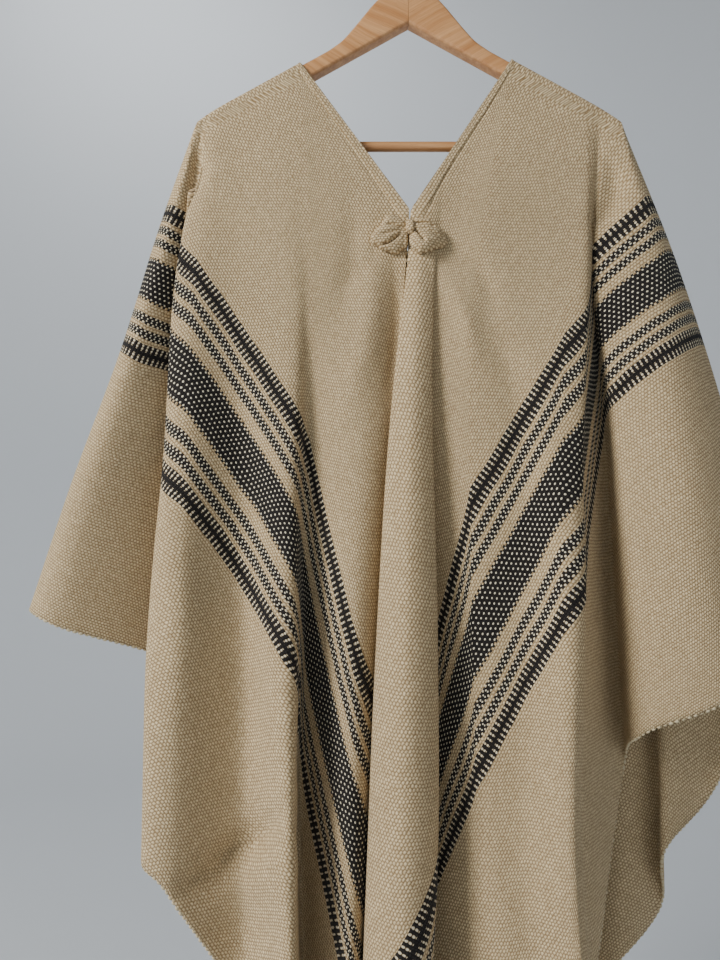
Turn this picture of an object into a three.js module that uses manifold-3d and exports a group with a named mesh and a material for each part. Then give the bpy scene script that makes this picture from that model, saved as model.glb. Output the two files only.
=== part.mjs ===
// A woven wool poncho on a wooden hanger. Millimetres, +Z up, the garment's front faces -Y, its wearer's
// right side lies at -X. The origin is the inner top of the hanger's hook, where it hangs on a peg or rail.
import * as THREE from "three";
import { mergeVertices } from "three/addons/utils/BufferGeometryUtils.js";
import Module from "manifold-3d";

// Cloth
const CLOTH = 2.5;
const SEAM_GAP = 0.3;
const ARM_CLEAR = 0.75;
const LEFT_LIP = 3;
const RIGHT_LIP = 9;
const LIP_WIDTH = 5;

// Each half is kept on its own side of the seam for this many folds before it, fewer on the front's roll.
const SEAM_FOLDS = 3;
const ROLL_SEAM_FOLDS = 2.2;

// Columns of points across the cloth: shares of the way from one fold to the next, with closer ones just
// below the neck corner, where the edge turns over the hanger's arm.
const FOLD_STEPS = [0, 0.5];
const NECK_TURN_STEPS = [0, 0.1, 0.3, 0.6];

// Hanger
const HANGER_HALF = 212;
const HANGER_THICKNESS = 15;
const SHOULDER_APEX = -100.3;
const SHOULDER_SLOPE = 0.582;
const ARM_HEIGHT = 17;
const HEEL_INNER = 200;
const HEEL_BOTTOM = -260;
const EDGE_ROUND = 3;
const BAR_RADIUS = 5;
const BAR_HEIGHT = -250;
const BAR_LET_IN = 7;
const WIRE_RADIUS = 2;
const HOOK_INNER_RADIUS = 20;
const CROWN_TOP = -78;

// The cloth's path over the shoulders and round the neck, as seen from the front
const OVER_ARM = HANGER_THICKNESS / 2 + ARM_CLEAR + CLOTH / 2;
const SLANT = Math.hypot(1, SHOULDER_SLOPE);
const RIDGE_LIFT = (ARM_CLEAR + CLOTH / 2) * SLANT;
const BEND_DROP = 6;
const BEND_SOFTNESS = 12;
const NECK_BOTTOM = -328;
const NECK_DEPTH = 20;
const LEFT_SHOULDER = { ridge: 126, neck: 113 };
const RIGHT_SHOULDER = { ridge: 133, neck: 107 };

// Rows of points down each fold: the first lie this far below the shoulder or neck edge, the rest are even.
const FIRST_ROWS = [0, 0.6, 1.8, 4, 9, 20, 36];
const EVEN_ROWS = 17;
const OVER_ARM_ROUND = 6;

// Each fold runs from the shoulder or neck edge to the hem. Its columns are the fold's name, its start along
// the shoulder and neck edge from the shoulder's bend, x and y at each quarter of its drop, and z at the hem.
const LEFT_FRONT = [
  ["silhouette", 0, [-261, -294, -334, -374], [0, 0, 0, 0], -719],
  ["sleeve front", 7, [-238, -256, -281, -307], [-16, -24, -28, -24], -739],
  ["sleeve valley", 14, [-226, -217, -202, -192], [-8, 0, 8, 12], -802],
  ["fold edge", 22, [-231, -236, -243, -246], [-22, -34, -46, -52], -936],
  ["fold front", 34, [-211, -212, -214, -216], [-28, -48, -66, -72], -956],
  ["panel hollow", 60, [-172, -165, -159, -155], [-25, -30, -36, -38], -1061],
  ["crest", 95, [-119, -115, -111, -105], [-28, -50, -74, -84], -1100],
  ["valley", 126, [-96, -101, -106, -103], [-24, -22, -12, -6], -1130],
  ["neck turn", 134, [-91, -95, -99, -97], [-25, -23, -13, -7], -1134],
  ["inner ridge", 240, [-43, -53, -58, -64], [-30, -48, -56, -54], -1179],
];
const LEFT_BACK = [
  ["silhouette", 0, [-261, -294, -334, -374], [0, 0, 0, 0], -719],
  ["sleeve back", 7, [-249, -272, -296, -318], [16, 24, 28, 24], -728],
  ["sleeve valley", 14, [-232, -234, -238, -243], [12, 12, 16, 20], -755],
  ["fold edge", 22, [-220, -225, -230, -235], [24, 34, 44, 50], -920],
  ["fold back", 34, [-201, -204, -206, -206], [27, 42, 56, 60], -954],
  ["panel hollow", 60, [-167, -157, -151, -146], [22, 30, 34, 36], -1012],
  ["crest", 95, [-129, -112, -100, -94], [28, 46, 60, 66], -1084],
  ["valley", 126, [-82, -73, -63, -58], [24, 28, 30, 32], -1103],
  ["neck turn", 134, [-78, -69, -60, -55], [24, 29, 32, 34], -1106],
  ["inner ridge", 240, [-38, -32, -29, -28], [28, 42, 52, 56], -1155],
];
const RIGHT_FRONT = [
  ["silhouette", 0, [268, 305, 335, 364], [0, 0, 0, 0], -753],
  ["sleeve front", 7, [239, 249, 262, 280], [-18, -30, -36, -30], -798],
  ["sleeve edge", 16, [189, 200, 205, 210], [-18, -34, -44, -44], -835],
  ["sleeve valley", 30, [184, 193, 200, 206], [-8, 3, 10, 12], -880],
  ["fold edge", 44, [172, 158, 150, 151], [-26, -48, -62, -66], -1050],
  ["fold front", 62, [151, 135, 129, 132], [-28, -54, -74, -80], -1071],
  ["panel middle", 100, [112, 101, 98, 98], [-27, -40, -50, -54], -1123],
  ["panel hollow", 133, [60, 54, 56, 58], [-28, -35, -41, -45], -1172],
  ["neck turn", 141, [54, 49, 50, 52], [-28, -34, -40, -44], -1175],
  ["roll valley", 262, [16, 11, 9, 8], [-24, -16, -10, -8], -1205],
  ["roll right", 290, [17, 19, 15, -6], [-36, -50, -58, -62], -1200],
  ["roll front", 308, [-1, -9, -13, -16], [-46, -70, -82, -88], -1196],
  ["roll left", 321, [-20, -35, -44, -51], [-36, -48, -56, -60], -1198],
];
const RIGHT_BACK = [
  ["silhouette", 0, [268, 305, 335, 364], [0, 0, 0, 0], -753],
  ["sleeve back", 7, [268, 297, 312, 308], [18, 28, 36, 36], -901],
  ["sleeve crease", 16, [244, 251, 252, 247], [12, 14, 16, 18], -957],
  ["sleeve edge", 30, [232, 243, 251, 253], [20, 28, 40, 48], -1022],
  ["fold valley", 44, [202, 206, 207, 205], [18, 24, 30, 34], -1067],
  ["fold edge", 62, [168, 165, 164, 163], [28, 44, 56, 62], -1126],
  ["panel middle", 100, [122, 115, 112, 111], [24, 34, 42, 46], -1148],
  ["panel hollow", 133, [86, 84, 82, 80], [22, 30, 36, 40], -1165],
  ["neck turn", 141, [82, 80, 79, 78], [22, 31, 37, 41], -1166],
  ["back crest", 262, [56, 58, 60, 62], [26, 44, 54, 60], -1176],
  ["back slope", 290, [36, 38, 40, 42], [24, 36, 44, 48], -1180],
  ["back rise", 308, [24, 25, 26, 28], [23, 31, 37, 40], -1182],
  ["back flat", 321, [12, 12, 12, 12], [22, 28, 32, 34], -1183],
];
// The valleys where the two halves are sewn together below the neck, with the same columns
const FRONT_SEAM = ["seam", 0, [-14, -21, -37, -57], [-17, -9, -7, -7], -1200];
const BACK_SEAM = ["seam", 0, [-1, -2, -3, -4], [18, 22, 26, 28], -1184];

const materials = {
  wool: new THREE.MeshStandardMaterial({ color: 0xc9b48f, roughness: 0.95, metalness: 0 }),
  wood: new THREE.MeshStandardMaterial({ color: 0xc78d57, roughness: 0.45, metalness: 0 }),
  steel: new THREE.MeshStandardMaterial({ color: 0xc4c6c8, roughness: 0.3, metalness: 1 }),
};

// A smooth value at u of the way from b to c, between the neighbours a and d.
function smoothBetween(a, b, c, d, u) {
  const curve = 2 * a - 5 * b + 4 * c - d;
  const twist = 3 * (b - c) + d - a;
  return b + 0.5 * u * (c - a + u * (curve + u * twist));
}

// A smooth value at place s along a row of values that lie one apart.
function smoothAlong(values, s) {
  const last = values.length - 1;
  const i = Math.min(Math.floor(s), last - 1);
  const before = i > 0 ? values[i - 1] : 2 * values[0] - values[1];
  const after = i + 2 <= last ? values[i + 2] : 2 * values[last] - values[last - 1];
  return smoothBetween(before, values[i], values[i + 1], after, s - i);
}

const shoulderHeight = (x) => SHOULDER_APEX + RIDGE_LIFT - SHOULDER_SLOPE * Math.abs(x);

// The point on the shoulder line or the neck edge, seen from the front, at a distance from the bend.
function topPoint(shoulder, distance) {
  const { ridge, neck } = shoulder;
  if (distance <= ridge) {
    const x = neck + (ridge - distance) / SLANT;
    return [x, shoulderHeight(x) - BEND_DROP * Math.exp(-distance / BEND_SOFTNESS)];
  }
  const start = shoulderHeight(neck);
  const along = (distance - ridge) / neckEdge(shoulder);
  return [neck * (1 - along), start + (NECK_BOTTOM - start) * along];
}

function neckEdge({ neck }) {
  return Math.hypot(neck, shoulderHeight(neck) - NECK_BOTTOM);
}

// How far the cloth has rounded over the hanger's arm, from 0 on the ridge to 1 on its flat side.
function roundedOver(below) {
  const rest = Math.min(1, Math.max(0, 1 - below / OVER_ARM_ROUND));
  return Math.cbrt(1 - rest ** 3);
}

// Where the columns lie, counted in folds from the silhouette.
function columnPlaces(rows, shoulder) {
  const places = [];
  for (let fold = 0; fold + 1 < rows.length; fold++) {
    const steps = rows[fold].top === shoulder.ridge ? NECK_TURN_STEPS : FOLD_STEPS;
    places.push(...steps.map((step) => fold + step));
  }
  return [...places, rows.length - 1];
}

// Where the rows lie on a line of this length, from 0 at its top to 1 at the hem.
function rowDrops(length) {
  const drops = FIRST_ROWS.map((row) => row / length);
  const first = drops[drops.length - 1];
  for (let k = 1; k <= EVEN_ROWS; k++) drops.push(first + ((1 - first) * k) / EVEN_ROWS);
  return drops;
}

// The folds of one half as plain rows, with the two that turn into the seam at the valley's bottom.
function foldRows(table, seam, shoulder, side) {
  const rows = table.map(([, top, x, y, hem]) => ({ top, x, y, hem }));
  const end = shoulder.ridge + neckEdge(shoulder);
  const beside = seam[2].map((x) => x + (side * (CLOTH + SEAM_GAP)) / 2);
  const toward = Math.sign(seam[3][0]);
  const lip = seam[3].map((y) => y + toward * (side < 0 ? LEFT_LIP : RIGHT_LIP));
  rows.push({ top: end - LIP_WIDTH, x: beside, y: lip, hem: seam[4] });
  rows.push({ top: end, x: beside, y: seam[3], hem: seam[4] });
  return rows;
}

// One layer's grid of points: columns from the silhouette to the seam, each from the top to the hem.
function layerGrid(rows, across, shoulder, side, facing) {
  const mirrored = { ...across[1] };
  const folds = [mirrored, ...rows];
  const pick = (s, value) => smoothAlong(folds.map(value), s + 1);
  const seamLine = rows[rows.length - 1].x;
  const columns = [];
  const overhangs = side > 0 && facing < 0;
  for (const s of columnPlaces(rows, shoulder)) {
    const fold = Math.min(Math.floor(s), rows.length - 2);
    const top = rows[fold].top + (s - fold) * (rows[fold + 1].top - rows[fold].top);
    const [topX, topZ] = topPoint(shoulder, top);
    const hem = pick(s, (f) => f.hem);
    const belowRidge = top > shoulder.ridge ? shoulderHeight(topX) - topZ : 0;
    const neckPart = belowRidge / (shoulderHeight(0) - NECK_BOTTOM);
    const topY = facing * (OVER_ARM + (NECK_DEPTH - OVER_ARM) * neckPart) * Math.min(1, s);
    const xs = [side * topX, ...[0, 1, 2, 3].map((k) => pick(s, (f) => f.x[k]))];
    const ys = [topY, ...[0, 1, 2, 3].map((k) => pick(s, (f) => f.y[k]))];
    const column = rowDrops(topZ - hem).map((drop) => {
      let x = smoothAlong(xs, drop * 4);
      const z = topZ + (hem - topZ) * drop;
      if (s > rows.length - (overhangs ? ROLL_SEAM_FOLDS : SEAM_FOLDS)) {
        const seamX = smoothAlong([side * (CLOTH + SEAM_GAP) * 0.5, ...seamLine], drop * 4);
        x = side > 0 ? Math.max(x, seamX) : Math.min(x, seamX);
      }
      const y = smoothAlong(ys, drop * 4) * roundedOver(belowRidge + topZ - z);
      return new THREE.Vector3(x, y, z);
    });
    columns.push(column);
  }
  return columns;
}

// A middle surface as positions and triangles, with shared points merged.
function surfaceOf(grids) {
  const keys = new Map();
  const points = [];
  const faces = [];
  const indexOf = (p) => {
    const key = [p.x, p.y, p.z].map((v) => Math.round(v * 100)).join(" ");
    if (!keys.has(key)) {
      keys.set(key, points.length);
      points.push(p.clone());
    }
    return keys.get(key);
  };
  const add = (a, b, c) => {
    if (a !== b && b !== c && c !== a) faces.push([a, b, c]);
  };
  for (const { columns, turn } of grids) {
    for (let i = 0; i + 1 < columns.length; i++) {
      for (let j = 0; j + 1 < columns[i].length; j++) {
        const corner = [columns[i][j], columns[i][j + 1], columns[i + 1][j + 1], columns[i + 1][j]];
        const [a, b, c, d] = corner.map(indexOf);
        if (turn) {
          add(a, c, b);
          add(a, d, c);
        } else {
          add(a, b, c);
          add(a, c, d);
        }
      }
    }
  }
  return { points, faces };
}

function normalsOf({ points, faces }) {
  const normals = points.map(() => new THREE.Vector3());
  for (const [a, b, c] of faces) {
    const ab = points[b].clone().sub(points[a]);
    const ac = points[c].clone().sub(points[a]);
    const n = ab.cross(ac);
    for (const i of [a, b, c]) normals[i].add(n);
  }
  return normals.map((n) => n.normalize());
}

// A closed wall: the middle surface moved out and in by half the thickness, joined along its free edges.
function wallOf(surface, thickness) {
  const { points, faces } = surface;
  const normals = normalsOf(surface);
  const count = points.length;
  const positions = [];
  for (const half of [thickness / 2, -thickness / 2]) {
    points.forEach((p, i) => positions.push(...p.clone().addScaledVector(normals[i], half).toArray()));
  }
  const index = [];
  const edges = new Set();
  for (const [a, b, c] of faces) {
    index.push(a, b, c, a + count, c + count, b + count);
    for (const [from, to] of [[a, b], [b, c], [c, a]]) edges.add(`${from} ${to}`);
  }
  for (const edge of edges) {
    const [a, b] = edge.split(" ").map(Number);
    if (!edges.has(`${b} ${a}`)) index.push(a, a + count, b + count, a, b + count, b);
  }
  return indexed(positions, index);
}

function indexed(positions, index) {
  const geometry = new THREE.BufferGeometry();
  geometry.setAttribute("position", new THREE.Float32BufferAttribute(positions, 3));
  geometry.setIndex(index);
  return geometry;
}

// Both layers of one half of the poncho, joined over the shoulder and down the sleeve's silhouette.
function halfPoncho(frontTable, backTable, shoulder, side) {
  const front = foldRows(frontTable, FRONT_SEAM, shoulder, side);
  const back = foldRows(backTable, BACK_SEAM, shoulder, side);
  const frontGrid = layerGrid(front, back, shoulder, side, -1);
  const backGrid = layerGrid(back, front, shoulder, side, 1);
  return surfaceOf([
    { columns: frontGrid, turn: side > 0 },
    { columns: backGrid, turn: side < 0 },
  ]);
}

const leftSurface = halfPoncho(LEFT_FRONT, LEFT_BACK, LEFT_SHOULDER, -1);
const rightSurface = halfPoncho(RIGHT_FRONT, RIGHT_BACK, RIGHT_SHOULDER, 1);

// The y of the cloth's foremost layer at x and z, on either half.
function clothFront(x, z) {
  let foremost = Infinity;
  for (const { points, faces } of [leftSurface, rightSurface]) {
    for (const face of faces) {
      const [a, b, c] = face.map((i) => points[i]);
      const area = (b.x - a.x) * (c.z - a.z) - (c.x - a.x) * (b.z - a.z);
      if (Math.abs(area) < 1e-6) continue;
      const v = ((x - a.x) * (c.z - a.z) - (c.x - a.x) * (z - a.z)) / area;
      const w = ((b.x - a.x) * (z - a.z) - (x - a.x) * (b.z - a.z)) / area;
      if (v < 0 || w < 0 || v + w > 1) continue;
      foremost = Math.min(foremost, a.y + v * (b.y - a.y) + w * (c.y - a.y));
    }
  }
  return foremost;
}

// The bow: two loops of the same cloth drawn together by a knot, lying on the front below the neck. Each ring
// stands across the bow. Its columns are x from the knot's middle, z of its middle, half height and thickness.
const BOW_AT = { x: 1, z: -347 };
const BOW_CLEAR = 0.4;
const BOW_HALF_HEIGHT = 16;
const SEAT_STEP = 4;
const LOOP_RINGS = [
  [6, 1, 5.5, 7],
  [11, 1, 8.5, 9],
  [17, 0.5, 12, 11],
  [24, -0.5, 15, 12],
  [31, -2.5, 15.5, 11.5],
  [36, -5, 12.5, 10],
  [39.5, -7, 8, 7.5],
];
const KNOT_RINGS = [
  [-5.2, 1, 7, 8],
  [-3.5, 1, 8.6, 12],
  [0, 1, 9.3, 13.5],
  [3.5, 1, 8.6, 12],
  [5.2, 1, 7, 8],
];
const RING_POINTS = 14;

// A closed lump through upright rings, its back lying just in front of the cloth.
function lumpOn(rings, side) {
  const positions = [];
  const index = [];
  for (const [offset, lift, halfHeight, thickness] of rings) {
    const x = BOW_AT.x + side * offset;
    for (let k = 0; k < RING_POINTS; k++) {
      const angle = (2 * Math.PI * k) / RING_POINTS;
      const z = BOW_AT.z + lift + halfHeight * Math.cos(angle);
      const forward = 0.5 + 0.5 * Math.sin(angle);
      const seat = Math.min(seatDepth(x), clothFront(x, z)) - CLOTH / 2 - SEAM_GAP - BOW_CLEAR;
      positions.push(x, seat - thickness * forward, z);
    }
  }
  const ring = (r, k) => r * RING_POINTS + (k % RING_POINTS);
  for (let r = 0; r + 1 < rings.length; r++) {
    for (let k = 0; k < RING_POINTS; k++) {
      index.push(ring(r, k), ring(r, k + 1), ring(r + 1, k + 1), ring(r, k), ring(r + 1, k + 1), ring(r + 1, k));
    }
  }
  for (const [r, reverse] of [[0, true], [rings.length - 1, false]]) {
    for (let k = 1; k + 1 < RING_POINTS; k++) {
      const [b, c] = reverse ? [k + 1, k] : [k, k + 1];
      index.push(ring(r, 0), ring(r, b), ring(r, c));
    }
  }
  return indexed(positions, side > 0 ? index : turned(index));
}

// The cloth's foremost depth behind the whole height of the bow at x.
function seatDepth(x) {
  let depth = Infinity;
  for (let lift = -BOW_HALF_HEIGHT; lift <= BOW_HALF_HEIGHT; lift += SEAT_STEP) {
    depth = Math.min(depth, clothFront(x, BOW_AT.z + lift));
  }
  return depth;
}

function turned(index) {
  const out = [];
  for (let i = 0; i < index.length; i += 3) out.push(index[i], index[i + 2], index[i + 1]);
  return out;
}

const wasm = await Module();
wasm.setup();

function solidFrom(geometry) {
  const bare = geometry.clone();
  bare.deleteAttribute("normal");
  bare.deleteAttribute("uv");
  const merged = mergeVertices(bare, 1e-4);
  return new wasm.Manifold(
    new wasm.Mesh({
      numProp: 3,
      vertProperties: merged.attributes.position.array,
      triVerts: new Uint32Array(merged.index.array),
    }),
  );
}

function geometryFrom(solid) {
  const mesh = solid.getMesh();
  return indexed(Array.from(mesh.vertProperties), Array.from(mesh.triVerts));
}

// The hanger's upper outline near its crown, as x from the middle and z
const CROWN = [
  [0, CROWN_TOP],
  [14, -80],
  [26, -87],
  [37, -98],
  [48, -112],
  [59, -126],
  [70, -138.5],
  [84, SHOULDER_APEX - SHOULDER_SLOPE * 84],
];
const UNDERSIDE_APEX = -118;
const UNDERSIDE_SLOPE = 0.585;
const OUTLINE_STEPS = 14;

// One arm, drawn past the middle, cut there on the mitre, with a round socket for the bar.
function hangerArm(side) {
  const crown = new THREE.SplineCurve(CROWN.map(([x, z]) => new THREE.Vector2(x, z)));
  const topAt = (x) => SHOULDER_APEX - SHOULDER_SLOPE * x;
  const shape = new THREE.Shape();
  const overMiddle = -10;
  shape.moveTo(overMiddle, UNDERSIDE_APEX);
  shape.lineTo(0, UNDERSIDE_APEX);
  shape.lineTo(HEEL_INNER - 30, UNDERSIDE_APEX - UNDERSIDE_SLOPE * (HEEL_INNER - 30));
  shape.quadraticCurveTo(HEEL_INNER, topAt(HEEL_INNER) - ARM_HEIGHT, HEEL_INNER, HEEL_BOTTOM + 6);
  shape.quadraticCurveTo(HEEL_INNER, HEEL_BOTTOM, HEEL_INNER + 6, HEEL_BOTTOM);
  shape.quadraticCurveTo(HANGER_HALF, HEEL_BOTTOM, HANGER_HALF, topAt(HANGER_HALF) - 14);
  shape.quadraticCurveTo(HANGER_HALF - 3, topAt(HANGER_HALF) - 3, HANGER_HALF - 28, topAt(HANGER_HALF - 28));
  for (const p of crown.getPoints(OUTLINE_STEPS * 2).reverse()) shape.lineTo(p.x, p.y);
  shape.lineTo(overMiddle, CROWN_TOP);
  const extruded = new THREE.ExtrudeGeometry(shape, {
    depth: HANGER_THICKNESS - 2 * EDGE_ROUND,
    bevelThickness: EDGE_ROUND,
    bevelSize: EDGE_ROUND,
    bevelOffset: -EDGE_ROUND,
    bevelSegments: 2,
    curveSegments: 6,
  });
  extruded.translate(0, 0, EDGE_ROUND - HANGER_THICKNESS / 2);
  extruded.rotateX(Math.PI / 2);
  if (side < 0) extruded.rotateZ(Math.PI);
  const half = new THREE.BoxGeometry(300, 60, 400);
  half.translate(side * (150 + SEAM_GAP / 2), 0, -200);
  const socket = new THREE.CylinderGeometry(BAR_RADIUS + SEAM_GAP, BAR_RADIUS + SEAM_GAP, 60, 24);
  socket.rotateZ(Math.PI / 2);
  socket.translate(side * (HEEL_INNER + BAR_LET_IN - 30), 0, BAR_HEIGHT);
  return geometryFrom(solidFrom(extruded).intersect(solidFrom(half)).subtract(solidFrom(socket)));
}

// The round bar between the two heels.
function hangerBar() {
  const bar = new THREE.CylinderGeometry(BAR_RADIUS, BAR_RADIUS, 2 * (HEEL_INNER + BAR_LET_IN - SEAM_GAP), 24);
  bar.rotateZ(Math.PI / 2);
  bar.translate(0, 0, BAR_HEIGHT);
  return bar;
}

// The wire hook: a shank out of the crown, bent aside into a round hook that is open on the other side.
function hangerHook() {
  const radius = HOOK_INNER_RADIUS + WIRE_RADIUS;
  const points = [
    new THREE.Vector3(0, 0, CROWN_TOP + SEAM_GAP),
    new THREE.Vector3(0, 0, CROWN_TOP + 12),
    new THREE.Vector3(1.5, 0, CROWN_TOP + 24),
  ];
  for (let degrees = -48; degrees <= 204; degrees += 18) {
    const angle = THREE.MathUtils.degToRad(degrees);
    points.push(new THREE.Vector3(radius * Math.cos(angle), 0, radius * Math.sin(angle) - HOOK_INNER_RADIUS));
  }
  const section = new THREE.Shape();
  section.absarc(0, 0, WIRE_RADIUS, 0, 2 * Math.PI);
  return new THREE.ExtrudeGeometry(section, {
    steps: 44,
    curveSegments: 5,
    bevelEnabled: false,
    extrudePath: new THREE.CatmullRomCurve3(points),
  });
}

const poncho = new THREE.Group();

function addPiece(name, geometry, material) {
  const mesh = new THREE.Mesh(geometry, material);
  mesh.name = name;
  poncho.add(mesh);
}

addPiece("left_panel", wallOf(leftSurface, CLOTH), materials.wool);
addPiece("right_panel", wallOf(rightSurface, CLOTH), materials.wool);
addPiece("bow_left_loop", lumpOn(LOOP_RINGS, -1), materials.wool);
addPiece("bow_right_loop", lumpOn(LOOP_RINGS, 1), materials.wool);
addPiece("bow_knot", lumpOn(KNOT_RINGS, 1), materials.wool);
addPiece("hanger_arm_left", hangerArm(-1), materials.wood);
addPiece("hanger_arm_right", hangerArm(1), materials.wood);
addPiece("hanger_bar", hangerBar(), materials.wood);
addPiece("hanger_hook", hangerHook(), materials.steel);

export default poncho;
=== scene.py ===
import math

import bmesh
import bpy
import numpy as np
from mathutils import Matrix, Vector
from mathutils.bvhtree import BVHTree


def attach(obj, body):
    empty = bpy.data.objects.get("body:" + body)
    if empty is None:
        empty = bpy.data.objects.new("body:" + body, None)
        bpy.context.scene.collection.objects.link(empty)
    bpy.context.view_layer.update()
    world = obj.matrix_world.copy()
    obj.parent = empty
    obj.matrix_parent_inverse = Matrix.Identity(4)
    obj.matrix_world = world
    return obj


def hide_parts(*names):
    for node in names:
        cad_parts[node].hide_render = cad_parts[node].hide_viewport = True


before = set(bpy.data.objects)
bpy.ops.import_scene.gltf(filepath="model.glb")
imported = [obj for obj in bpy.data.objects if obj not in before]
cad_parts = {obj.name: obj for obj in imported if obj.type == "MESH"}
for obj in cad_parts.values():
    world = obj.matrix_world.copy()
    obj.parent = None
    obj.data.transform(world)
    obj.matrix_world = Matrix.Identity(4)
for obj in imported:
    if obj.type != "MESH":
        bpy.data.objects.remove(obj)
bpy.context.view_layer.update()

scene = bpy.context.scene


# Camera
# The photo is taken from the front, level with the middle of the cloth and a little left of the hook, looking
# slightly up.
camera = bpy.data.objects.new("camera", bpy.data.cameras.new("camera"))
scene.collection.objects.link(camera)
camera.location = (-0.05045, -0.73283, -0.66015)
camera.rotation_euler = (math.radians(95), 0, 0)
camera.data.sensor_width = 36
camera.data.lens = 27.75
camera.data.clip_start = 0.05
camera.data.clip_end = 40
scene.camera = camera


# Room
# A pale floor below the hem that curves up into a wall all round. A soft light stands before it at the upper
# left, with weak ones at the right, behind the cloth and at the top of the wall.
FLOOR = -1.5
ROOM_RADIUS = 3.4
ROOM_HEIGHT = 5.4
ROOM_BEND = 1.2


def mesh_object(name, points, faces, smooth=True):
    """A new object in the scene from plain points and faces."""
    mesh = bpy.data.meshes.new(name)
    mesh.from_pydata([tuple(map(float, p)) for p in points], [], [tuple(map(int, f)) for f in faces])
    mesh.update()
    if smooth:
        mesh.shade_smooth()
    made = bpy.data.objects.new(name, mesh)
    scene.collection.objects.link(made)
    return made


def plain_material(name, color, roughness):
    made = bpy.data.materials.new(name)
    made.use_nodes = True
    shader = made.node_tree.nodes["Principled BSDF"]
    shader.inputs["Base Color"].default_value = (*color, 1)
    shader.inputs["Roughness"].default_value = roughness
    return made


def room():
    """A bowl turned about the upright axis, from the floor's middle to the wall's top."""
    turns = 96
    profile = [(0.4, FLOOR), (1.2, FLOOR), (ROOM_RADIUS - ROOM_BEND, FLOOR)]
    for k in range(1, 17):
        angle = math.radians(90 * k / 16)
        profile.append(
            (ROOM_RADIUS - ROOM_BEND + ROOM_BEND * math.sin(angle), FLOOR + ROOM_BEND * (1 - math.cos(angle)))
        )
    profile.append((ROOM_RADIUS, FLOOR + ROOM_HEIGHT))
    points = [(0, 0, FLOOR)]
    for radius, height in profile:
        for k in range(turns):
            angle = 2 * math.pi * k / turns
            points.append((radius * math.cos(angle), radius * math.sin(angle), height))
    faces = [(0, 1 + k, 1 + (k + 1) % turns) for k in range(turns)]
    for ring in range(len(profile) - 1):
        for k in range(turns):
            a, b = 1 + ring * turns + k, 1 + ring * turns + (k + 1) % turns
            faces.append((a, a + turns, b + turns, b))
    made = mesh_object("room", points, faces)
    made.data.materials.append(plain_material("pale wall", (0.6, 0.63, 0.66), 0.9))
    return made


def area_light(name, place, target, size, power, color):
    data = bpy.data.lights.new(name, "AREA")
    data.shape = "DISK"
    data.size = size
    data.energy = power
    data.color = color
    made = bpy.data.objects.new(name, data)
    scene.collection.objects.link(made)
    made.location = place
    made.rotation_euler = (Vector(target) - Vector(place)).to_track_quat("-Z", "Y").to_euler()
    return made


room()
area_light("window light", (-2.55, -1.75, 0.85), (0, 0, -0.6), 1.15, 130, (1, 0.985, 0.96))
area_light("right fill", (2.0, -1.9, 0.1), (0, 0, -0.7), 1.6, 2, (0.95, 0.97, 1))
area_light("wall light", (-0.9, 1.8, 2.5), (-0.6, 3.4, 1.6), 1.4, 30, (1, 1, 1))
area_light("back light", (1.4, 2.2, 0.9), (0, 0, -0.6), 1.4, 9, (1, 1, 1))
world = bpy.data.worlds.new("pale world")
world.use_nodes = True
world.node_tree.nodes["Background"].inputs["Color"].default_value = (0.9, 0.93, 1, 1)
world.node_tree.nodes["Background"].inputs["Strength"].default_value = 0.045
scene.world = world


# Left half of the poncho
# A strip of hand-woven wool, 0.64 m wide, laid over the shoulder with one selvedge at the neck and the other
# at the hem. Its patterned band lies across the arm, and is woven in black and cream, thread by thread.
CLOTH = 0.0025
SEAM_GAP = 0.0003
OVER_ARM = 0.0095
SHOULDER_SLOPE = 0.582
SLANT = math.hypot(1, SHOULDER_SLOPE)
ARM_APEX = -0.1003
OVER_ARM_GAP = 0.002
SHOULDER_APEX = ARM_APEX + OVER_ARM_GAP * SLANT
BEND_DROP = 0.006
BEND_SOFTNESS = 0.012
NECK_BOTTOM = -0.328
NECK_DEPTH = 0.02
OVER_ARM_ROUND = 0.006
LIP_WIDTH = 0.005
SEAM_FOLDS = 3
ROLL_SEAM_FOLDS = 2.2
FIRST_ROWS = (0, 0.0003, 0.0006, 0.0011, 0.0018, 0.0028, 0.004, 0.006, 0.0085, 0.011, 0.0125, 0.0138, 0.0149,
              0.016, 0.0171, 0.0182, 0.0195, 0.022, 0.025, 0.03, 0.036)
HEM_WIDTH = 0.009
HEM_RAISE = 0.0008
HEM_GROOVE = 0.0011
GROOVE_HALF_WIDTH = 0.001
EVEN_ROWS = 112
COLUMN_STEP = 0.0046
BAND_START = 0.212
BAND_END = 0.369
LEAST_BELOW_BAND = 0.02

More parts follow.
